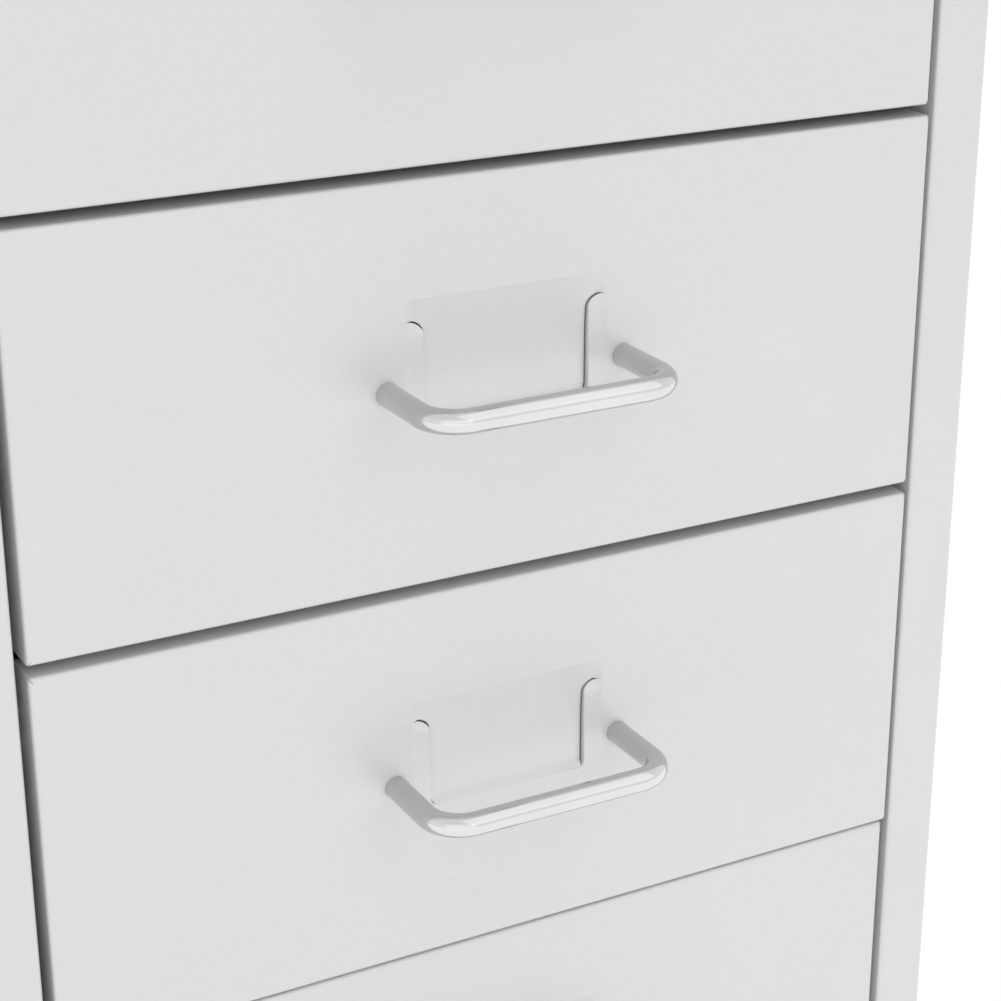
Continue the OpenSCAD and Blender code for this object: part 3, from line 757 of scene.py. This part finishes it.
def crossScrew(length):
    radius, head, high, brim = screw["radius"], screw["headRadius"], screw["headHigh"], screw["brim"]
    profile = [(0, -length), (radius - screw["pointIn"], -length), (radius, screw["point"] - length),
               (radius, 0), (head - screw["nick"], 0), (head, screw["nick"])]
    profile += [(head * math.cos(a), brim + (high - brim) * math.sin(a))
                for a in spread(0, math.pi / 2, 10)[:-1]]

    def standing(r, a, at):
        return round(r * math.cos(a), 6), round(r * math.sin(a), 6), at

    body = meshFrom("screw", lathe(profile + [(0, high)], screw["sides"], standing))
    long, wide, deep = screw["slotLong"], screw["slotWide"], high - screw["slotDeep"]
    cross = [(long, wide), (wide, wide), (wide, long), (-wide, long), (-wide, wide), (-long, wide),
             (-long, -wide), (-wide, -wide), (-wide, -long), (wide, -long), (wide, -wide), (long, -wide)]
    cutter = meshFrom("cross", block(cross, [deep, high + 1], alongZ))
    made, tool = bpy.data.objects.new("screw", body), bpy.data.objects.new("cross", cutter)
    for part in (made, tool):
        bpy.context.scene.collection.objects.link(part)
    cut = made.modifiers.new("cross", "BOOLEAN")
    cut.operation, cut.object, cut.solver = "DIFFERENCE", tool, "EXACT"
    mesh = made.evaluated_get(bpy.context.evaluated_depsgraph_get()).to_mesh()
    polygons = [[tuple(mesh.vertices[k].co / mm) for k in face.vertices] for face in mesh.polygons]
    for part in (made, tool):
        bpy.data.objects.remove(part)
    return polygons


def screwsAt(places, length):  # heads towards the back
    shape = crossScrew(length)
    return [[(x + a, y + h, z + b) for a, b, h in polygon] for x, y, z in places for polygon in shape]


low, high = boxOf("back_screws")
levels = spread(low.z + screw["headRadius"], high.z - screw["headRadius"], 3)
backY = high.y - screw["headHigh"]
spots = [(side * (high.x - screw["headRadius"]), backY, z) for side in (-1, 1) for z in levels]
addPiece("backScrews", meshFrom("screws", screwsAt(spots, backY - low.y)), "back_screws", sharp=40)
for i in range(1, 7):
    low, high = boxOf(f"handle_screws_{i}")
    origin, y = drawerOrigin(i), high.y - screw["headHigh"]
    spots = [(origin.x + side * rod["pitch"] / 2, y, origin.z) for side in (-1, 1)]
    mesh = meshFrom("screws", screwsAt(spots, y - low.y))
    addPiece(f"handleScrews{i}", mesh, f"handle_screws_{i}", sharp=40)
print("screws made")

wheel = {"radius": 20.0, "wide": 10.0, "bore": 2.55, "hub": 6.5, "recess": 2.2, "rim": 2.5, "round": 1.5,
         "web": 3.0, "webAt": 3.8, "ribs": 6, "rib": 1.6, "ribHigh": 1.3, "ribSunk": 0.2, "ribInto": 0.3,
         "ribSlope": 0.8, "sides": 64}


def roundedSection(corners):  # a closed section from its corners, each with a radius and its steps
    points = []
    for k, (x, y, radius, steps) in enumerate(corners):
        here = Vector((x, y))
        before = (Vector(corners[k - 1][:2]) - here).normalized()
        after = (Vector(corners[(k + 1) % len(corners)][:2]) - here).normalized()
        for a in spread(0, math.pi / 2, steps):
            spot = here + radius * (before * (1 - math.sin(a)) + after * (1 - math.cos(a)))
            points.append((spot.x, spot.y))
    return points


def wheelProfile():  # radius, and distance from the inner face
    outer, wide, bore, hub = wheel["radius"], wheel["wide"], wheel["bore"], wheel["hub"]
    inner, hubOut, webLow = outer - wheel["rim"], wide - wheel["recess"], wheel["webAt"]
    webHigh, tread = webLow + wheel["web"], wheel["round"]
    return roundedSection([
        (bore, 0, 0.3, 1), (hub, 0, 0.4, 1), (hub, webLow, 0.6, 1), (inner, webLow, 0.8, 1),
        (inner, 0, 0.4, 1), (outer, 0, tread, 5), (outer, wide, tread, 5), (inner, wide, 0.5, 1),
        (inner, webHigh, 0.8, 1), (hub, webHigh, 0.6, 1), (hub, hubOut, 0.5, 1), (bore, hubOut, 0.3, 1)])


def wheelPolygons(centre, inside, outward):
    def turned(r, a, at, beside=0.0):
        return (inside + outward * at, centre.y + r * math.cos(a) - beside * math.sin(a),
                centre.z + r * math.sin(a) + beside * math.cos(a))

    polygons = lathe(wheelProfile(), wheel["sides"], turned)
    low, half = wheel["webAt"] + wheel["web"] - wheel["ribSunk"], wheel["rib"] / 2
    hub, rim = wheel["hub"] - wheel["ribInto"], wheel["radius"] - wheel["rim"] + wheel["ribInto"]
    section = [(hub, low), (rim, low), (rim, low + wheel["ribHigh"] * wheel["ribSlope"]),
               (hub, low + wheel["ribHigh"])]
    for k in range(wheel["ribs"]):
        a = 2 * math.pi * (k + 0.5) / wheel["ribs"]
        for side in (-half, half):
            polygons.append([turned(r, a, at, side) for r, at in section])
        for (r, at), (nextR, nextAt) in zip(section, section[1:] + section[:1]):
            polygons.append([turned(r, a, at, -half), turned(r, a, at, half),
                             turned(nextR, a, nextAt, half), turned(nextR, a, nextAt, -half)])
    return polygons


for name in castorNames:
    for hand, outward in (("left", -1), ("right", 1)):
        node = f"wheel_{hand}_{name}"
        low, high = boxOf(node)
        inside = low.x if outward > 0 else high.x
        mesh = meshFrom("wheel", wheelPolygons((low + high) / 2, inside, outward))
        addPiece(f"wheel{hand.title()}{joined(name)}", mesh, node, sharp=50)


def softened(name, node, edge):  # a solid with its hard corners rounded
    work = bmesh.new()
    work.from_mesh(frame["nodes"][node].data)
    bmesh.ops.remove_doubles(work, verts=work.verts, dist=weldWithin)
    bmesh.ops.dissolve_limit(work, angle_limit=math.radians(flatWithin), verts=work.verts, edges=work.edges)
    mesh = bpy.data.meshes.new(name)
    work.to_mesh(mesh)
    work.free()
    return addPiece(name, mesh, node, edge=edge, sharp=40)


castorEdges = {"hood": 0.5, "stem": 0.3, "axle": 0.25, "nuts": 0.4}
for name in castorNames:
    for kind in ("hood", "stem", "axle"):
        softened(f"castor{kind.title()}{joined(name)}", f"castor_{kind}_{name}", castorEdges[kind])
softened("castorNuts", "castor_nuts", castorEdges["nuts"])
print("castors made")

cameraLook = {"place": (-0.25156, -0.66787, 0.59188), "right": (0.88076, -0.47355, -0.00292),
              "up": (0.17288, 0.31580, 0.93294), "focal": 83.66, "sensor": 36.0, "near": 0.02, "far": 50}
camera = bpy.data.objects.new("camera", bpy.data.cameras.new("camera"))
bpy.context.scene.collection.objects.link(camera)
bpy.context.scene.camera = camera
rightWay, upWay = Vector(cameraLook["right"]).normalized(), Vector(cameraLook["up"]).normalized()
backWay = rightWay.cross(upWay).normalized()
upWay = backWay.cross(rightWay)
turn = Matrix((rightWay, upWay, backWay)).transposed().to_4x4()
camera.matrix_world = Matrix.Translation(cameraLook["place"]) @ turn
camera.data.sensor_width, camera.data.lens = cameraLook["sensor"], cameraLook["focal"]
camera.data.clip_start, camera.data.clip_end = cameraLook["near"], cameraLook["far"]
bpy.context.scene.view_settings.view_transform = "Standard"


def softLight(name, place, target, width, height, power):
    light = bpy.data.lights.new(name, "AREA")
    light.shape, light.size, light.size_y, light.energy = "RECTANGLE", width, height, power
    made = bpy.data.objects.new(name, light)
    bpy.context.scene.collection.objects.link(made)
    made.location = place
    made.rotation_mode = "QUATERNION"
    made.rotation_quaternion = (Vector(target) - Vector(place)).to_track_quat("-Z", "Y")


lamps = {
    "frontLight": {"place": (-0.95, -2.3, 0.8), "target": (0, 0, 0.35),
                   "width": 3.2, "height": 2.0, "power": 5},
    "skyLight": {"place": (1.2, -2.2, 2.7), "target": (0, 0, 0.4),
                 "width": 3.2, "height": 3.6, "power": 12}}
for name, lamp in lamps.items():
    softLight(name, **lamp)
studio = {"horizon": 0.5, "zenith": 0.84, "level": 1.2, "ceiling": 1.1, "backdropFrom": 0.3,
          "backdropTo": 0.7, "floorSize": 12, "floorShade": 0.95, "floorLift": 0.74,
          "floorGlow": 0.83, "toCamera": 0.27, "toMetal": 0.85, "toGlass": 0.27}

world = bpy.data.worlds.new("studio")
bpy.context.scene.world = world
air = Finish("studio air", world)
rise = air.node("ShaderNodeSeparateXYZ", {}, {0: air.place}).out("Z")


def ramped(low, high, first, last):  # a strength that changes with the height of the view
    return air.node("ShaderNodeMapRange", {"interpolation_type": "SMOOTHSTEP"}, {
        "Value": rise, "From Min": low, "From Max": high, "To Min": first, "To Max": last})


rays = air.node("ShaderNodeLightPath")
other = 1 - rays
seen = rays + rays.out("Is Glossy Ray") * other + rays.out("Is Transmission Ray") * other
backdrop = ramped(studio["backdropFrom"], studio["backdropTo"], studio["level"], studio["ceiling"])
glow = ramped(0.0, 1.0, studio["horizon"], studio["zenith"])
strength = seen * backdrop + glow * (1 - seen)
sky = air.node("ShaderNodeBackground", {}, {"Color": (1, 1, 1, 1), "Strength": strength})
air.node("ShaderNodeOutputWorld", {}, {"Surface": sky})

floorMesh = bpy.data.meshes.new("floor")
half = studio["floorSize"] / 2
floorCorners = [(-half, -half, 0), (half, -half, 0), (half, half, 0), (-half, half, 0)]
floorMesh.from_pydata(floorCorners, [], [(0, 1, 2, 3)])
floor = bpy.data.objects.new("floor", floorMesh)
bpy.context.scene.collection.objects.link(floor)
f = Finish("studio floor")
shade = studio["floorShade"]
matt = f.node("ShaderNodeBsdfDiffuse", {}, {"Color": (shade, shade, shade, 1)})
rays = f.node("ShaderNodeLightPath")
other = 1 - rays
shown = studio["toCamera"] * rays + studio["toMetal"] * rays.out("Is Glossy Ray") * other \
    + studio["toGlass"] * rays.out("Is Transmission Ray") * other
lift = f.node("ShaderNodeEmission", {}, {"Color": (1, 1, 1, 1), "Strength": studio["floorGlow"] + shown})
f.node("ShaderNodeOutputMaterial", {}, {
    "Surface": f.node("ShaderNodeMixShader", {}, {0: studio["floorLift"], 1: matt, 2: lift})})
floorMesh.materials.append(f.material)
print("studio set")
